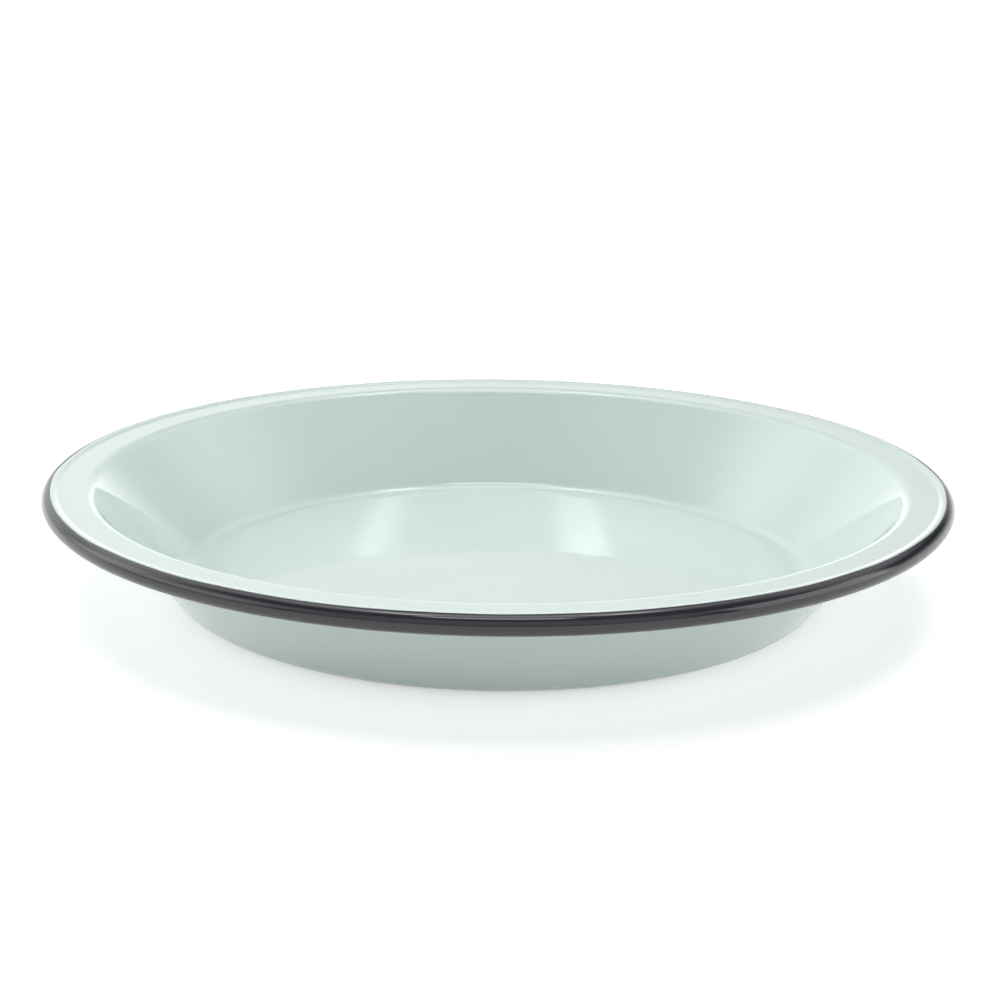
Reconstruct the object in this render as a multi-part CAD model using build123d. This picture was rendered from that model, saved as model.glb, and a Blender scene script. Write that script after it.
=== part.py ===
from build123d import *
import math
import os

# A round pie dish of enamelled steel, with a rolled rim.
# The origin is the middle of the base, on the plane that the dish stands on, and +Z is up.
# Lengths are in millimetres, and angles in degrees.

# Outline, over the enamel. The flange's width lies between the middles of the shoulder's round and the bead,
# and its drop between the tops of the rim and the shoulder. A hollow neck leads from the flange to the bead,
# and meets it at an angle round the bead's middle.
outer_diameter = 240.0
dish_height = 30.6
base_diameter = 165.6
corner_radius = 5.9
flange_width = 8.0
flange_drop = 0.8
shoulder_radius = 3.7
bead_diameter = 5.0
neck_radius = 1.5
neck_angle = 122.0

# The steel sheet and the enamel on each side of it
sheet_thickness = 0.6
ground_thickness = 0.12
inner_cover_thickness = 0.2
outer_cover_thickness = 0.2
rim_cover_thickness = 0.2

# The rim: where the mint ends and the grey starts, and the slit left under the flange
edging_angle = 84.0
seam_gap = 0.3

# Small scars on the underside, left by the points that the dish was fired on
scar_count = 3
scar_circle_diameter = 128.0
scar_diameter = 1.8
scar_depth = 0.12

# Distances from the upper side of the steel, upward
steel_top = 0.0
steel_under = -sheet_thickness
ground_top = ground_thickness
ground_under = steel_under - ground_thickness
inner_top = ground_top + inner_cover_thickness
outer_under = ground_under - outer_cover_thickness
wall_thickness = inner_top - outer_under

# The section is four rounds. Common tangents join the first three, and the neck touches the bead.
# These are the rounds' middles, as radius and height.
bead_radius = bead_diameter / 2
roll_radius = bead_radius - rim_cover_thickness - ground_thickness
corner_middle = Vector(base_diameter / 2, wall_thickness + corner_radius)
bead_middle = Vector(outer_diameter / 2 - bead_radius, dish_height - roll_radius - inner_top)
shoulder_middle = Vector(bead_middle.X - flange_width, dish_height - flange_drop - shoulder_radius)


def polar(middle, radius, angle):
    """A point at a radius and angle from a round's middle."""
    turn = math.radians(angle)
    return middle + Vector(radius * math.cos(turn), radius * math.sin(turn))


def tangent_angle(start, end, gain):
    """Slope of the line that gains that much distance from the line between two middles."""
    run = end - start
    return math.degrees(math.atan2(run.Y, run.X) + math.asin(gain / run.length))


neck_middle = polar(bead_middle, roll_radius + inner_top + neck_radius, neck_angle)
wall_angle = tangent_angle(corner_middle, shoulder_middle, corner_radius + shoulder_radius)
flange_angle = tangent_angle(shoulder_middle, neck_middle, -shoulder_radius - neck_radius)
flange_facing = flange_angle + 90

# The roll turns clockwise from the neck, and stops a slit short of the flange's underside
neck_lift = (neck_middle - bead_middle).dot(polar(Vector(0, 0), 1, flange_facing))
flange_clearance = neck_lift - neck_radius - wall_thickness
roll_opening = math.degrees(math.acos((flange_clearance - seam_gap) / bead_radius))
roll_end = flange_facing + roll_opening - 360
edge_cover_angle = math.degrees(rim_cover_thickness / roll_radius)
steel_end = roll_end + edge_cover_angle


def side(distance, roll_stop=None):
    """One side of a layer, from the axis out. It ends on the roll, or under the flange by the neck."""
    corner = corner_radius + inner_top - distance
    shoulder = shoulder_radius - inner_top + distance
    neck = neck_radius + inner_top - distance
    roll = roll_radius + distance
    floor_end = polar(corner_middle, corner, -90)
    wall_start = polar(corner_middle, corner, wall_angle - 90)
    wall_end = polar(shoulder_middle, shoulder, wall_angle + 90)
    flange_start = polar(shoulder_middle, shoulder, flange_facing)
    flange_end = polar(neck_middle, neck, flange_facing + 180)
    edges = [
        Line(Vector(0, floor_end.Y), floor_end),
        CenterArc(corner_middle, corner, -90, wall_angle),
        Line(wall_start, wall_end),
        CenterArc(shoulder_middle, shoulder, wall_angle + 90, flange_angle - wall_angle),
        Line(flange_start, flange_end),
    ]
    if roll_stop is None:
        return edges, flange_end
    edges.append(CenterArc(neck_middle, neck, flange_facing + 180, neck_angle - flange_facing))
    edges.append(CenterArc(bead_middle, roll, neck_angle, roll_stop - neck_angle))
    return edges, polar(bead_middle, roll, roll_stop)


def layer(low, high, roll_stop=None):
    """The section of a layer between two distances, closed on the axis and at the rim."""
    low_edges, low_end = side(low, roll_stop)
    high_edges, high_end = side(high, roll_stop)
    axis_edge = Line(low_edges[0] @ 0, high_edges[0] @ 0)
    return make_face(low_edges + high_edges + [axis_edge, Line(low_end, high_end)])


def roll_band(low, high, start, end):
    """The section of a band round the roll, between two distances and two angles."""
    inner = CenterArc(bead_middle, roll_radius + low, start, end - start)
    outer = CenterArc(bead_middle, roll_radius + high, start, end - start)
    return make_face([inner, outer, Line(inner @ 0, outer @ 0), Line(inner @ 1, outer @ 1)])


def turned(section):
    """The solid that a section makes round the dish's axis."""
    return revolve(Plane.XZ * section, Axis.Z, 360)


def steel_pan():
    return turned(layer(steel_under, steel_top, steel_end))


def ground_coat():
    upper = turned(layer(steel_top, ground_top, steel_end))
    lower = turned(layer(ground_under, steel_under))
    return Compound(children=[upper, lower])


def inner_enamel():
    return turned(layer(ground_top, inner_top, edging_angle))


def firing_scars():
    """Shallow caps that a point leaves in the enamel of the base."""
    ball_radius = (scar_diameter / 2) ** 2 / (2 * scar_depth) + scar_depth / 2
    ball = Pos(0, 0, scar_depth - ball_radius) * Sphere(ball_radius)
    return [place * ball for place in PolarLocations(scar_circle_diameter / 2, scar_count)]


def outer_enamel():
    return turned(layer(outer_under, ground_under)) - firing_scars()


def rim_enamel():
    rim_top = ground_top + rim_cover_thickness
    band = roll_band(ground_top, rim_top, edging_angle, steel_end)
    edge_cover = roll_band(steel_under, rim_top, steel_end, roll_end)
    return turned(band + edge_cover)


os.makedirs("parts", exist_ok=True)
for make in (steel_pan, ground_coat, inner_enamel, outer_enamel, rim_enamel):
    export_step(make(), f"parts/{make.__name__}.step")
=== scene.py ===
import math

import bpy
from mathutils import Matrix, Vector, noise


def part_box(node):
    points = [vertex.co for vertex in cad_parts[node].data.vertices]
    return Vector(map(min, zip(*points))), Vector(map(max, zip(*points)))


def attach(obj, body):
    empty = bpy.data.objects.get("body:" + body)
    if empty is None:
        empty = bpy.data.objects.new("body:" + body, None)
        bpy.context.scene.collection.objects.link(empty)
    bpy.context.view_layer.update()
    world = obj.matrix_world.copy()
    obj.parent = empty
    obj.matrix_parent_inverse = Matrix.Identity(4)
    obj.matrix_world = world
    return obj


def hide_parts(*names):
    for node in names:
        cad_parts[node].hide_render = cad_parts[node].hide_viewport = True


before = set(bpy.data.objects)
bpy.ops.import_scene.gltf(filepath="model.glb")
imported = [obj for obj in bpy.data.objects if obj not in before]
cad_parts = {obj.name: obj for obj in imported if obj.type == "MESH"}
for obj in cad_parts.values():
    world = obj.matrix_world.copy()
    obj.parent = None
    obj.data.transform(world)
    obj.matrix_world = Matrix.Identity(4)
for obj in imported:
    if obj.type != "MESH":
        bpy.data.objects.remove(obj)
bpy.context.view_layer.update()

# The looks of a round enamelled pie dish. Lengths are in metres and angles in degrees, +Z is up, and
# the origin is the middle of the base. The three cover coats are modelled finely here, on the same
# section as the solids.

# The section's rounds, and its flange, which a hollow neck joins to the bead
base_radius = 0.0828
corner_radius = 0.0059
shoulder_radius = 0.0037
flange_width = 0.0080
flange_drop = 0.0008
bead_radius = 0.0025
neck_radius = 0.0015
neck_angle = 122.0

# The sheet, and the coats on it
sheet_thickness = 0.0006
ground_thickness = 0.00012
cover_thickness = 0.0002

# The line between mint and grey, how wide a coat's rounded edge is, and the slit that the roll leaves
# under the flange
edging_angle = 84.0
lip_width = 0.00022
seam_gap = 0.0003

# The points that the dish was fired on leave shallow scars under the base
scar_count = 3
scar_circle_radius = 0.064
scar_radius = 0.0009
scar_depth = 0.00012

# How uneven the coats are: waves in their surface, and wander of the line between mint and grey
wave_height = 0.00003
wave_length = 0.03
line_wander = 7.0
line_wander_length = 0.02

# How finely the coats are meshed
turn_count = 512
turn_digits = 9
scar_turn_steps = 14
scar_turn_reach = 1.2
least_steps = 2
arc_step = 1.5
bead_step = 3.0
line_step = 0.0015
lip_steps = 8
on_axis = 1e-9

# Distances from the upper side of the steel, upward, and the radius of the steel's roll
ground_top = ground_thickness
inner_top = ground_top + cover_thickness
ground_under = -sheet_thickness - ground_thickness
outer_under = ground_under - cover_thickness
roll_radius = bead_radius - inner_top

# The rounds' middles, as radius and height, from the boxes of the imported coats
rim_low, rim_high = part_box("rim_enamel")
coat_low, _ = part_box("inner_enamel")
floor_height = coat_low.z + cover_thickness
bead_middle = Vector((rim_high.x - bead_radius, rim_low.z + bead_radius))
corner_middle = Vector((base_radius, floor_height + corner_radius))
shoulder_middle = Vector((
    bead_middle.x - flange_width,
    bead_middle.y + bead_radius - flange_drop - shoulder_radius,
))


def unit(angle):
    """The direction at an angle in the section."""
    turn = math.radians(angle)
    return Vector((math.cos(turn), math.sin(turn)))


def tangent_angle(start, end, gain):
    """Slope of the line that gains that much distance from the line between two middles."""
    run = end - start
    return math.degrees(math.atan2(run.y, run.x) + math.asin(gain / run.length))


neck_middle = bead_middle + (bead_radius + neck_radius) * unit(neck_angle)
wall_angle = tangent_angle(corner_middle, shoulder_middle, corner_radius + shoulder_radius)
flange_angle = tangent_angle(shoulder_middle, neck_middle, -shoulder_radius - neck_radius)
flange_facing = flange_angle + 90

# The roll turns clockwise from the neck, and stops a slit short of the flange's underside
neck_lift = (neck_middle - bead_middle).dot(unit(flange_facing))
flange_clearance = neck_lift - neck_radius - inner_top + outer_under
roll_opening = math.degrees(math.acos((flange_clearance - seam_gap) / bead_radius))
roll_end = flange_facing + roll_opening - 360
lip_angle = math.degrees(lip_width / bead_radius)


class Spot:
    """A point of the section, and the way its surface faces.

    A point on the bead has its angle and distance round the bead's middle too.
    """

    def __init__(self, point, facing, angle=None, radius=None):
        self.point = point
        self.facing = facing
        self.angle = angle
        self.radius = radius


def steps_between(length, step):
    """How many steps a stretch is cut into."""
    return max(least_steps, math.ceil(abs(length) / step))


def line_spots(start, end, step=line_step):
    """Spots along a straight line, without its last point. The line's left side faces out."""
    run = end - start
    facing = Vector((-run.y, run.x)).normalized()
    count = steps_between(run.length, step)
    return [Spot(start + run * (n / count), facing) for n in range(count)]


def arc_spots(middle, radius, start, end, hollow=False):
    """Spots along an arc, without its last point. A hollow arc faces its middle."""
    count = steps_between(end - start, arc_step)
    angles = [start + (end - start) * n / count for n in range(count)]
    return [Spot(middle + radius * unit(a), -unit(a) if hollow else unit(a)) for a in angles]


def bead_spots(radius, start, end, facing_out=True):
    """Spots round the bead, with both ends."""
    count = steps_between(end - start, bead_step)
    angles = [start + (end - start) * n / count for n in range(count + 1)]
    sign = 1 if facing_out else -1
    return [Spot(bead_middle + radius * unit(a), sign * unit(a), a, radius) for a in angles]


def sheet_spots(distance):
    """The upper side of a layer that far above the steel, without its last point.

    It runs from the axis to the bead. A layer under the steel ends on the flange, where the neck
    starts.
    """
    corner = corner_radius + inner_top - distance
    shoulder = shoulder_radius - inner_top + distance
    neck = neck_radius + inner_top - distance
    floor_end = corner_middle + corner * unit(-90)
    wall_start = corner_middle + corner * unit(wall_angle - 90)
    wall_end = shoulder_middle + shoulder * unit(wall_angle + 90)
    flange_start = shoulder_middle + shoulder * unit(flange_facing)
    flange_end = neck_middle - neck * unit(flange_facing)
    spots = line_spots(Vector((0, floor_end.y)), floor_end)
    spots += arc_spots(corner_middle, corner, -90, wall_angle - 90, hollow=True)
    spots += line_spots(wall_start, wall_end)
    spots += arc_spots(shoulder_middle, shoulder, wall_angle + 90, flange_facing)
    spots += line_spots(flange_start, flange_end)
    if distance > 0:
        spots += arc_spots(neck_middle, neck, flange_facing - 180, neck_angle - 180, hollow=True)
    return spots, flange_end


def turned_over(spots):
    """The same spots in the other order, facing the other way."""
    return [Spot(s.point, -s.facing, s.angle, s.radius) for s in reversed(spots)]


def lip_spots(under_radius, edge, inward):
    """The rounded edge of a coat on the bead, from its full thickness down to its edge."""
    spots = []
    for n in range(lip_steps + 1):
        turn = math.pi / 2 * n / lip_steps
        angle = edge + inward * lip_angle * (1 - math.sin(turn))
        radius = under_radius + cover_thickness * math.cos(turn)
        spots.append(Spot(bead_middle + radius * unit(angle), unit(angle), angle, radius))
    return spots


def wander(turn):
    """How far the line between mint and grey strays there, in degrees round the bead."""
    around = bead_middle.x * Vector((math.cos(turn), math.sin(turn), 0))
    return line_wander * noise.noise(around / line_wander_length)


def wave(place):
    """Height of the coat's waves there, from the full height down."""
    return wave_height * (noise.noise(place / wave_length) - 1) / 2


def placed(spot, turn, stray, waved):
    """Where a spot of the section lies at an angle round the dish."""
    point, facing = spot.point, spot.facing
    if spot.angle is not None:
        share = max(0.0, 1 - abs(spot.angle - edging_angle) / (neck_angle - edging_angle))
        angle = spot.angle + stray * share
        point = bead_middle + spot.radius * unit(angle)
    around = Vector((math.cos(turn), math.sin(turn), 0))
    place = around * point.x + Vector((0, 0, point.y))
    if waved:
        place += (around * facing.x + Vector((0, 0, facing.y))) * wave(place)
    return place


def scar_places():
    """The middles of the scars."""
    turns = [2 * math.pi * n / scar_count for n in range(scar_count)]
    return [scar_circle_radius * Vector((math.cos(t), math.sin(t), 0)) for t in turns]


def scarred(place):
    """A place on the underside, lifted where a scar is."""
    for middle in scar_places():
        share = ((place - middle).to_2d().length) / scar_radius
        if share < 1 and place.z < cover_thickness:
            place = place + Vector((0, 0, scar_depth * (1 - share * share)))
    return place


def turns_round(fine=False):
    """The angles that the section is placed at. Fine ones lie closer together by the scars."""
    turns = {round(2 * math.pi * n / turn_count, turn_digits) for n in range(turn_count)}
    if fine:
        half = scar_turn_reach * scar_radius / scar_circle_radius
        for n in range(scar_count):
            for k in range(-scar_turn_steps, scar_turn_steps + 1):
                turn = 2 * math.pi * n / scar_count + half * k / scar_turn_steps
                turns.add(round(turn % (2 * math.pi), turn_digits))
    return sorted(turns)


def turned_mesh(name, spots, waved, turns, finish=None):
    """A closed mesh of the section turned round the axis. The waved spots are the first ones."""
    mesh = bpy.data.meshes.new(name)
    places, rows = [], []
    strays = [wander(turn) for turn in turns]
    for row, spot in enumerate(spots):
        first = len(places)
        if spot.point.x < on_axis:
            places.append(placed(spot, 0.0, 0.0, row < waved))
            rows.append([first] * len(turns))
        else:
            places += [placed(spot, turn, stray, row < waved) for turn, stray in zip(turns, strays)]
            rows.append(list(range(first, len(places))))
    if finish:
        places = [finish(place) for place in places]
    faces = []
    for near, far in zip(rows, rows[1:] + rows[:1]):
        if near[0] == near[1] and far[0] == far[1]:
            continue
        for n in range(len(turns)):
            after = (n + 1) % len(turns)
            corners = [near[n], far[n], far[after], near[after]]
            faces.append([c for k, c in enumerate(corners) if c != corners[k - 1]])
    mesh.from_pydata(places, [], faces)
    mesh.polygons.foreach_set("use_smooth", [True] * len(mesh.polygons))
    mesh.update()
    piece = bpy.data.objects.new(name, mesh)
    bpy.context.scene.collection.objects.link(piece)
    return piece


def inner_coat():
    """The mint coat of the inside, up to its rounded edge on the crest of the rim."""
    top, _ = sheet_spots(inner_top)
    top += bead_spots(bead_radius, neck_angle, edging_angle + lip_angle)[:-1]
    top += lip_spots(bead_radius - cover_thickness, edging_angle, 1)
    under, _ = sheet_spots(ground_top)
    under += bead_spots(bead_radius - cover_thickness, neck_angle, edging_angle)[:-1]
    return turned_mesh("mint_coat_inside", top + turned_over(under), len(top), turns_round())


def outer_coat():
    """The mint coat of the underside, from the base to the end of the flange."""
    lower, lower_end = sheet_spots(outer_under)
    upper, upper_end = sheet_spots(ground_under)
    lower.append(Spot(lower_end, unit(flange_angle)))
    upper.append(Spot(upper_end, unit(flange_angle)))
    spots = turned_over(lower) + upper
    return turned_mesh("mint_coat_outside", spots, len(lower), turns_round(True), scarred)


def edging_coat():
    """The grey coat round the bead, from its rounded edge by the mint to the closed cut edge."""
    lip = lip_spots(bead_radius - cover_thickness, edging_angle, -1)
    outside = bead_spots(bead_radius, edging_angle - lip_angle, roll_end + lip_angle)
    cut_edge = cut_edge_spots()
    inside = bead_spots(bead_radius - cover_thickness, roll_end + lip_angle, edging_angle, False)
    top = list(reversed(lip)) + outside[1:] + cut_edge
    return turned_mesh("edging_coat", top + inside[:-1], len(top), turns_round())


def cut_edge_spots():
    """The rounded end of the roll, over the cut edge of the sheet."""
    depth = bead_radius - (roll_radius - sheet_thickness)
    spots = []
    for n in range(1, lip_steps):
        turn = math.pi * n / lip_steps
        radius = bead_radius - depth / 2 * (1 - math.cos(turn))
        angle = roll_end + lip_angle * (1 - math.sin(turn))
        spots.append(Spot(bead_middle + radius * unit(angle), unit(angle), angle, radius))
    return spots


# Where a noise's values mostly lie
noise_range = (0.3, 0.7)

# The enamels: their colours, how far each colour strays, and what is uneven in colour, gloss and grain
mint_colour = (0.665, 0.778, 0.752)
mint_spread = 0.012
grey_colour = (0.029, 0.029, 0.036)
grey_spread = 0.05
ground_colour = (0.03, 0.035, 0.05)
ground_spread = 0.1
enamel_ior = 1.52
enamel_roughness = (0.032, 0.052)
tint_length = 0.045
tint_detail = 3.0
gloss_length = 0.02
gloss_detail = 4.0
grain_length = 0.004
grain_detail = 1.0
grain_depth = 0.000004

# The steel: its colours, its roughness, and how fine its streaks are along each axis
steel_colours = [(0.34, 0.34, 0.35), (0.48, 0.48, 0.49)]
steel_roughness = (0.3, 0.5)
streak_scale = (40, 900, 900)


def node_material(name):
    """A material, its node tree and its Principled shader."""
    material = bpy.data.materials.new(name)
    material.use_nodes = True
    tree = material.node_tree
    return material, tree, tree.nodes["Principled BSDF"]


def noise_node(tree, length, detail):
    """Noise whose waves are about that long, at the object's own coordinates."""
    coordinates = tree.nodes.new("ShaderNodeTexCoord")
    texture = tree.nodes.new("ShaderNodeTexNoise")
    texture.inputs["Scale"].default_value = 1 / length
    texture.inputs["Detail"].default_value = detail
    tree.links.new(coordinates.outputs["Object"], texture.inputs["Vector"])
    return texture.outputs["Fac"]


def ramp_node(tree, source, colours):
    """One colour at a noise's low end and another at its high end, with a smooth change between."""
    ramp = tree.nodes.new("ShaderNodeValToRGB")
    ramp.color_ramp.interpolation = "EASE"
    for element, place, colour in zip(ramp.color_ramp.elements, noise_range, colours):
        element.position = place
        element.color = (*colour, 1)
    tree.links.new(source, ramp.inputs["Fac"])
    return ramp.outputs["Color"]


def range_node(tree, source, within, to, smooth=False):
    """A value carried from one range to another, and held at its ends."""
    node = tree.nodes.new("ShaderNodeMapRange")
    if smooth:
        node.interpolation_type = "SMOOTHSTEP"
    for name, value in zip(("From Min", "From Max", "To Min", "To Max"), (*within, *to)):
        node.inputs[name].default_value = value
    tree.links.new(source, node.inputs["Value"])
    return node.outputs["Result"]


def bump_node(tree, shader, source, depth):
    """Bump of a real depth."""
    bump = tree.nodes.new("ShaderNodeBump")
    bump.inputs["Distance"].default_value = depth
    bump.inputs["Strength"].default_value = 1.0
    tree.links.new(source, bump.inputs["Height"])
    tree.links.new(bump.outputs["Normal"], shader.inputs["Normal"])


def shades(colour, spread):
    """A colour a little darker and a little lighter."""
    return [tuple(c * factor for c in colour) for factor in (1 - spread, 1 + spread)]


def glossy_coat(name, colour, spread):
    """Fired enamel: a smooth glass with a faint unevenness of colour, gloss and surface."""
    material, tree, shader = node_material(name)
    tint = noise_node(tree, tint_length, tint_detail)
    tree.links.new(ramp_node(tree, tint, shades(colour, spread)), shader.inputs["Base Color"])
    gloss = noise_node(tree, gloss_length, gloss_detail)
    rough = range_node(tree, gloss, noise_range, enamel_roughness)
    tree.links.new(rough, shader.inputs["Roughness"])
    shader.inputs["IOR"].default_value = enamel_ior
    bump_node(tree, shader, noise_node(tree, grain_length, grain_detail), grain_depth)
    return material


def bare_steel(name):
    """Rolled steel sheet, with the faint streaks of the rolling."""
    material, tree, shader = node_material(name)
    coordinates = tree.nodes.new("ShaderNodeTexCoord")
    stretch = tree.nodes.new("ShaderNodeMapping")
    stretch.inputs["Scale"].default_value = streak_scale
    texture = tree.nodes.new("ShaderNodeTexNoise")
    tree.links.new(coordinates.outputs["Object"], stretch.inputs["Vector"])
    tree.links.new(stretch.outputs["Vector"], texture.inputs["Vector"])
    streaks = texture.outputs["Fac"]
    tree.links.new(ramp_node(tree, streaks, steel_colours), shader.inputs["Base Color"])
    rough = range_node(tree, streaks, noise_range, steel_roughness)
    tree.links.new(rough, shader.inputs["Roughness"])
    shader.inputs["Metallic"].default_value = 1.0
    return material


def finish_piece(piece, node, material):
    """Joins a coat to the body, in the place of its plain solid."""
    piece.data.materials.append(material)
    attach(piece, "root")
    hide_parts(node)


def finish_node(node, material):
    """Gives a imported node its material."""
    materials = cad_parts[node].data.materials
    materials.clear()
    materials.append(material)


mint_inside = glossy_coat("mint_inside", mint_colour, mint_spread)
finish_piece(inner_coat(), "inner_enamel", mint_inside)
mint_outside = glossy_coat("mint_outside", mint_colour, mint_spread)
finish_piece(outer_coat(), "outer_enamel", mint_outside)
grey_edging = glossy_coat("grey_edging", grey_colour, grey_spread)
finish_piece(edging_coat(), "rim_enamel", grey_edging)
finish_node("ground_coat", glossy_coat("ground_enamel", ground_colour, ground_spread))
finish_node("steel_pan", bare_steel("bare_steel"))

# The photograph's view: where the camera is, how it is turned, and its lens
camera_distance = 0.480
camera_elevation = 18.231
camera_lift = -2.495
camera_yaw = 0.0575
camera_roll = 0.655
camera_lens = 62.763
sensor_width = 36.0
nearest_seen = 0.01
farthest_seen = 100.0


def photo_camera():
    """The camera, turned about its own axes after it is aimed."""
    data = bpy.data.cameras.new("photo_camera")
    data.lens = camera_lens
    data.sensor_width = sensor_width
    data.clip_start = nearest_seen
    data.clip_end = farthest_seen
    camera = bpy.data.objects.new("photo_camera", data)
    bpy.context.scene.collection.objects.link(camera)
    high = math.radians(camera_elevation)
    down = math.radians(camera_elevation + camera_lift)
    yaw = math.radians(camera_yaw)
    roll = math.radians(camera_roll)
    place = camera_distance * Vector((0, -math.cos(high), math.sin(high)))
    ahead = Vector((math.sin(yaw) * math.cos(down), math.cos(yaw) * math.cos(down), -math.sin(down)))
    level = Vector((math.cos(yaw), -math.sin(yaw), 0))
    upright = level.cross(ahead)
    right = math.cos(roll) * level + math.sin(roll) * upright
    up = math.cos(roll) * upright - math.sin(roll) * level
    turn = Matrix((right, up, -ahead)).transposed()
    camera.matrix_world = Matrix.Translation(place) @ turn.to_4x4()
    bpy.context.scene.camera = camera


def overhead(side, back):
    """The direction of a place overhead, by its angles to the right and to the back."""
    return Vector((math.tan(math.radians(side)), math.tan(math.radians(back)), 1))


def level_with(azimuth, elevation):
    """The direction of a place low down, by its elevation and its angle from behind to the right."""
    turn, high = math.radians(azimuth), math.radians(elevation)
    return Vector((math.sin(turn) * math.cos(high), math.cos(turn) * math.cos(high), math.sin(high)))


# The light comes from the sky, at levels where a white surface in the open is about 1. Bands lie low
# down behind the dish. A band is brightest at its azimuth. It rises between two depths, which are how
# far a direction of unit length reaches that way, and falls between two heights.
back_band = dict(azimuth=-26, depths=(0.42, 1.06), heights=(0.28, 0.79), level=1.17)
right_band = dict(azimuth=36, depths=(0.5, 0.95), heights=(0.06, 0.30), level=0.9)
horizon_band = dict(azimuth=0, depths=(-0.1, 0.4), heights=(0.0, 0.06), level=0.7)

# A patch has the direction of its middle, its width and height, its soft edge's width and its level.
wide_light = dict(direction=overhead(-3, 14.5), spread=(47, 27), edge=30, level=3.1)
left_lamp = dict(direction=overhead(-11, 7), spread=(4, 7), edge=4.5, level=11.5)
right_lamp = dict(direction=overhead(15, 11), spread=(7, 6), edge=7, level=8.0)
crest_lamp = dict(direction=overhead(0, -12), spread=(22, 11), edge=5, level=5.5)
left_light = dict(direction=level_with(-92, 21), spread=(62, 28), edge=30, level=2.2)
right_light = dict(direction=level_with(98, 17), spread=(48, 34), edge=10, level=2.3)
high_left_light = dict(direction=level_with(-48, 42), spread=(46, 26), edge=16, level=1.2)
high_right_light = dict(direction=level_with(50, 42), spread=(46, 26), edge=16, level=0.9)
front_light = dict(direction=level_with(180, 28), spread=(95, 45), edge=25, level=0.7)


def math_node(tree, operation, first, second=None):
    """Arithmetic on one or two values, each a number or another node's."""
    node = tree.nodes.new("ShaderNodeMath")
    node.operation = operation
    for socket, value in zip(node.inputs, (first, second)):
        if isinstance(value, (int, float)):
            socket.default_value = value
        elif value is not None:
            tree.links.new(value, socket)
    return node.outputs["Value"]


def along_node(tree, toward, direction):
    """How far a direction of the sky reaches along another."""
    node = tree.nodes.new("ShaderNodeVectorMath")
    node.operation = "DOT_PRODUCT"
    node.inputs[1].default_value = direction
    tree.links.new(toward, node.inputs[0])
    return node.outputs["Value"]


def soft_patch(tree, toward, direction, spread, edge, level):
    """A patch of light that has that direction in its middle."""
    ahead = direction.normalized()
    across = ahead.cross(Vector((0, 0, 1))).normalized()
    share = math_node(tree, "GREATER_THAN", along_node(tree, toward, ahead), 0)
    fade = math.tan(math.radians(edge)) / 2
    for angle, axis in zip(spread, (across, across.cross(ahead))):
        sideways, forward = along_node(tree, toward, axis), along_node(tree, toward, ahead)
        slope = math_node(tree, "ABSOLUTE", math_node(tree, "DIVIDE", sideways, forward))
        reach = math.tan(math.radians(angle / 2))
        fall = range_node(tree, slope, (reach - fade, reach + fade), (1, 0), smooth=True)
        share = math_node(tree, "MULTIPLY", share, fall)
    return math_node(tree, "MULTIPLY", share, level)


def low_band(tree, toward, azimuth, depths, heights, level):
    """A band of light low down, brightest in one direction."""
    depth = along_node(tree, toward, level_with(azimuth, 0))
    height = along_node(tree, toward, Vector((0, 0, 1)))
    share = math_node(
        tree, "MULTIPLY",
        range_node(tree, depth, depths, (0, 1), smooth=True),
        range_node(tree, height, heights, (1, 0), smooth=True),
    )
    return math_node(tree, "MULTIPLY", share, level)


def seen_directly(tree, *other_rays):
    """1 on the camera's rays and on the others that are named, and 0 on the rays that give light."""
    path = tree.nodes.new("ShaderNodeLightPath")
    seen = path.outputs["Is Camera Ray"]
    for name in other_rays:
        seen = math_node(tree, "MAXIMUM", seen, path.outputs[name])
    return seen


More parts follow.
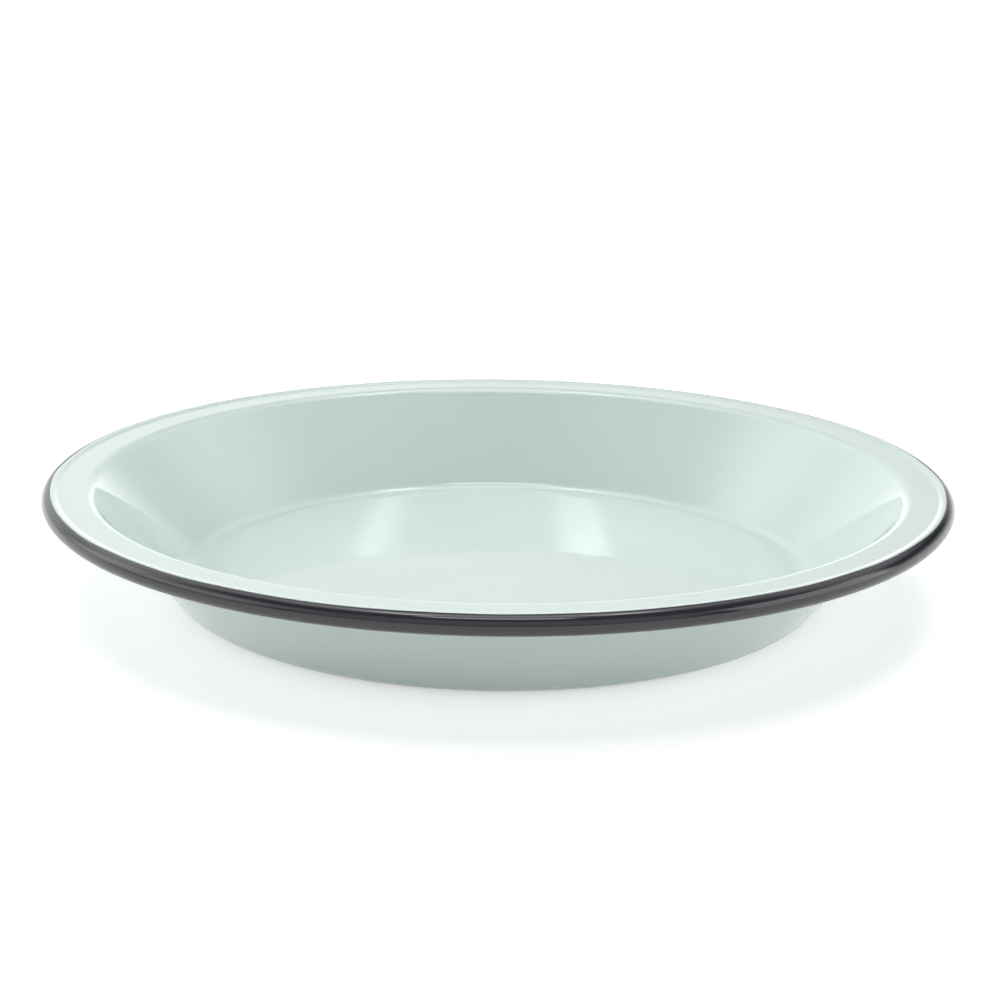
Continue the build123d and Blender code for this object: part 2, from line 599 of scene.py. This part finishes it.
def studio_world():
    """The bands and patches of light. Camera and transmitted rays see white in their place."""
    world = bpy.data.worlds.new("studio")
    bpy.context.scene.world = world
    world.use_nodes = True
    tree = world.node_tree
    background = tree.nodes["Background"]
    background.inputs["Color"].default_value = (1, 1, 1, 1)
    toward = tree.nodes.new("ShaderNodeTexCoord").outputs["Generated"]
    bands = (back_band, right_band, horizon_band)
    patches = (
        wide_light, left_lamp, right_lamp, crest_lamp, left_light, right_light,
        high_left_light, high_right_light, front_light,
    )
    parts = [low_band(tree, toward, **band) for band in bands]
    parts += [soft_patch(tree, toward, **patch) for patch in patches]
    total = parts[0]
    for part in parts[1:]:
        total = math_node(tree, "ADD", total, part)
    choose = tree.nodes.new("ShaderNodeMix")
    choose.inputs["B"].default_value = 1.0
    tree.links.new(seen_directly(tree, "Is Transmission Ray"), choose.inputs["Factor"])
    tree.links.new(total, choose.inputs["A"])
    tree.links.new(choose.outputs["Result"], background.inputs["Strength"])


# The floor, and how far what is seen of it is lifted
floor_half_width = 12.0
floor_colour = (0.9, 0.9, 0.9)
floor_spread = 0.01
floor_tint_length = 0.3
floor_tint_detail = 2.0
floor_roughness = 0.9
floor_glow = 0.45


def pale_floor():
    """The floor. What is seen of it is lifted to white in the open, and keeps the dish's shadow."""
    mesh = bpy.data.meshes.new("studio_floor")
    w = floor_half_width
    mesh.from_pydata([(-w, -w, 0), (w, -w, 0), (w, w, 0), (-w, w, 0)], [], [(0, 1, 2, 3)])
    floor = bpy.data.objects.new("studio_floor", mesh)
    bpy.context.scene.collection.objects.link(floor)
    material, tree, shader = node_material("pale_floor")
    tint = noise_node(tree, floor_tint_length, floor_tint_detail)
    colours = shades(floor_colour, floor_spread)
    tree.links.new(ramp_node(tree, tint, colours), shader.inputs["Base Color"])
    shader.inputs["Roughness"].default_value = floor_roughness
    shader.inputs["Specular IOR Level"].default_value = 0.0
    shader.inputs["Emission Color"].default_value = (1, 1, 1, 1)
    seen = seen_directly(tree, "Is Glossy Ray", "Is Transmission Ray")
    tree.links.new(math_node(tree, "MULTIPLY", seen, floor_glow), shader.inputs["Emission Strength"])
    mesh.materials.append(material)


photo_camera()
studio_world()
pale_floor()
bpy.context.scene.view_settings.view_transform = "Standard"
